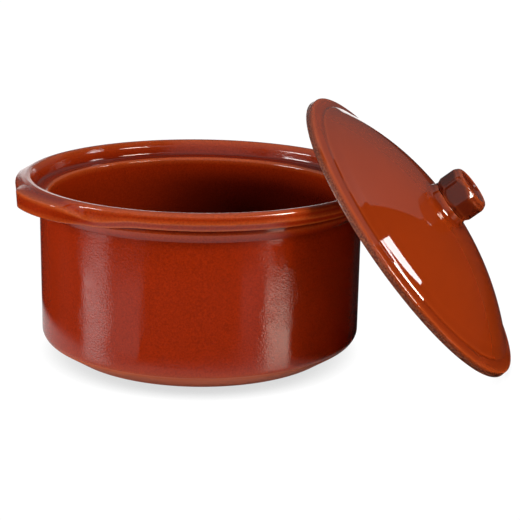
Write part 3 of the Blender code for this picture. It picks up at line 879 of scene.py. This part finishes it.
def matt_white(rgb):
    """White paper sweep that glows for the camera, with only a painted contact shadow on it.

    The camera sees it glow, less where something stands on it or within 20 mm behind and above it:
    that dimming is painted shadow. Matt surfaces get the light that it throws back.
    """
    made, tree = empty_material("white_paper_painted_shadow")
    seen = add(tree, "LightPath", out="Is Camera Ray")
    backward = add(tree, "CombineXYZ", {"X": 0.0, "Y": 0.75, "Z": 0.66})
    # Painted shadow: occlusion towards the back within 20 mm dims the floor's glow
    open_sky = add(tree, "AmbientOcclusion", {"Distance": 20 * MM, "Normal": backward}, out="AO",
                   samples=16)
    clear = add(tree, "MapRange", {"Value": open_sky, "From Min": 0.10, "From Max": 0.80})
    eased = add(tree, "Math", {"Value": clear, "Value_001": 0.5}, operation="POWER")
    light = add(tree, "MapRange", {"Value": eased, "From Min": 0.2, "From Max": 0.95,
                                   "To Min": 0.62, "To Max": 1.03})
    paper = add(tree, "BsdfDiffuse", {"Color": opaque(rgb)})
    shining = add(tree, "Emission", {"Strength": light})
    whole = add(tree, "MixShader", {"Fac": seen, "Shader": paper, "Shader_001": shining})
    add(tree, "OutputMaterial", {"Surface": whole})
    return made


def dark_gloss(rgb, pool_radiance):
    """Black acrylic, polished: it mirrors the lights low on the glazed wall.

    A pool of painted light glows round the pot, and its end at the right is the painted shade of
    the lid. The gloss is low under the pot, highest round it, and lower again further out, as dust dulls it
    there.
    """
    made, tree = empty_material("black_acrylic_painted_pool")
    place = add(tree, "TexCoord", out="Object")
    radius = add(tree, "VectorMath", {"Vector": place}, operation="LENGTH")
    aside = add(tree, "SeparateXYZ", {"Vector": place}, out="X")
    # Painted shade: the pool's glow fades out at the right, where the lid shades it
    lit = add(tree, "MapRange", {"Value": aside, "From Min": 0.085, "From Max": 0.125,
                                 "To Min": pool_radiance, "To Max": 0.0}, interpolation_type="SMOOTHSTEP")
    pool = add(tree, "MapRange", {"Value": radius, "From Min": 0.152, "From Max": 0.178,
                                  "To Min": lit, "To Max": 0.0}, interpolation_type="SMOOTHSTEP")
    dusty = add(tree, "MapRange", {"Value": radius, "From Min": 0.25, "From Max": 0.42,
                                   "To Min": 0.27, "To Max": 0.11}, interpolation_type="SMOOTHSTEP")
    gloss = add(tree, "MapRange", {"Value": radius, "From Min": 0.14, "From Max": 0.19,
                                   "To Min": 0.1, "To Max": dusty}, interpolation_type="SMOOTHSTEP")
    shader = add(tree, "BsdfPrincipled", {"Base Color": opaque(rgb), "Roughness": 0.03, "IOR": 1.22,
                                          "Specular IOR Level": gloss,
                                          "Emission Color": opaque((1.0, 1.0, 1.0)),
                                          "Emission Strength": pool})
    add(tree, "OutputMaterial", {"Surface": shader})
    return made


def glow(name, strength):
    """Paper lit evenly from elsewhere in the studio."""
    made, tree = empty_material(name)
    light = add(tree, "Emission", {"Strength": strength})
    add(tree, "OutputMaterial", {"Surface": light})
    return made


def studio_air(ambient):
    """Even light on matt surfaces, white behind the object and dark in its reflections."""
    world = bpy.data.worlds.new("studio_air")
    world.use_nodes = True
    tree = world.node_tree
    tree.nodes.clear()
    seen = add(tree, "LightPath", out="Is Camera Ray")
    mirrored = add(tree, "LightPath", out="Is Glossy Ray")
    even = add(tree, "Background", {"Strength": ambient})
    dark = add(tree, "Background", {"Strength": 0.02})
    white = add(tree, "Background", {"Color": opaque((1.0, 1.0, 1.0)), "Strength": 1.0})
    around_it = add(tree, "MixShader", {"Fac": mirrored, "Shader": even, "Shader_001": dark})
    whole = add(tree, "MixShader", {"Fac": seen, "Shader": around_it, "Shader_001": white})
    add(tree, "OutputWorld", {"Surface": whole})
    return world


def soft_box(name, about, aim, distance, size, radiance, roll=0.0):
    """A rectangular area light, seen from a point at an azimuth from the camera's side and an elevation.

    It faces the point. A flat light of radiance L and area A gives off pi L A watts.
    """
    turn, lift = math.radians(aim[0]), math.radians(aim[1])
    way = Vector((math.sin(turn) * math.cos(lift), -math.cos(turn) * math.cos(lift), math.sin(lift)))
    light = bpy.data.lights.new(name, "AREA")
    light.shape = "RECTANGLE"
    light.size, light.size_y = size
    light.energy = math.pi * radiance * size[0] * size[1]
    lamp = bpy.data.objects.new(name, light)
    bpy.context.scene.collection.objects.link(lamp)
    aimed(lamp, Vector(about) + way * distance, way, roll)
    lamp.visible_camera = False
    return lamp


def photo_camera():
    """The camera where the photograph was taken from, with its lens for a square frame."""
    lens = bpy.data.cameras.new("camera")
    lens.sensor_width = CAMERA_SENSOR
    lens.lens = CAMERA_LENS
    made = bpy.data.objects.new("camera", lens)
    bpy.context.scene.collection.objects.link(made)
    forward = Vector(CAMERA_FORWARD).normalized()
    right = forward.cross(Vector(CAMERA_UP)).normalized()
    turned = Matrix((right, right.cross(forward), -forward)).transposed()
    made.matrix_world = Matrix.Translation(CAMERA_PLACE) @ turned.to_4x4()
    return made


class COCOTTE_PT_panel(bpy.types.Panel):
    """Lists the steps that build the object, with its sizes and colours"""

    bl_idname = "COCOTTE_PT_panel"
    bl_label = "Cocotte"
    bl_space_type = "VIEW_3D"
    bl_region_type = "UI"
    bl_category = "Cocotte"

    def draw(self, context):
        for step in STEPS:
            self.layout.operator(step.bl_idname)
        for group in GROUPS:
            settings = getattr(context.scene, group)
            for name in settings.bl_rna.properties.keys():
                if name not in ("rna_type", "name"):
                    self.layout.prop(settings, name)


GROUPS = {
    "cocotte_pot": PotSizes,
    "cocotte_lid": LidSizes,
    "cocotte_colours": GlazeColours,
    "cocotte_studio": StudioSettings,
}
STEPS = (COCOTTE_OT_pot, COCOTTE_OT_lid, COCOTTE_OT_knob, COCOTTE_OT_studio)


def register():
    """Registers the settings, the operators and the panel."""
    for group, kind in GROUPS.items():
        bpy.utils.register_class(kind)
        setattr(bpy.types.Scene, group, bpy.props.PointerProperty(type=kind))
    for step in STEPS:
        bpy.utils.register_class(step)
    bpy.utils.register_class(COCOTTE_PT_panel)


def unregister():
    """Takes away everything that register added."""
    bpy.utils.unregister_class(COCOTTE_PT_panel)
    for step in reversed(STEPS):
        bpy.utils.unregister_class(step)
    for group, kind in reversed(GROUPS.items()):
        delattr(bpy.types.Scene, group)
        bpy.utils.unregister_class(kind)


def main():
    """Builds every piece and the stage."""
    register()
    bpy.ops.cocotte.pot()
    bpy.ops.cocotte.lid()
    bpy.ops.cocotte.knob()
    bpy.ops.cocotte.studio()


if __name__ == "__main__":
    main()
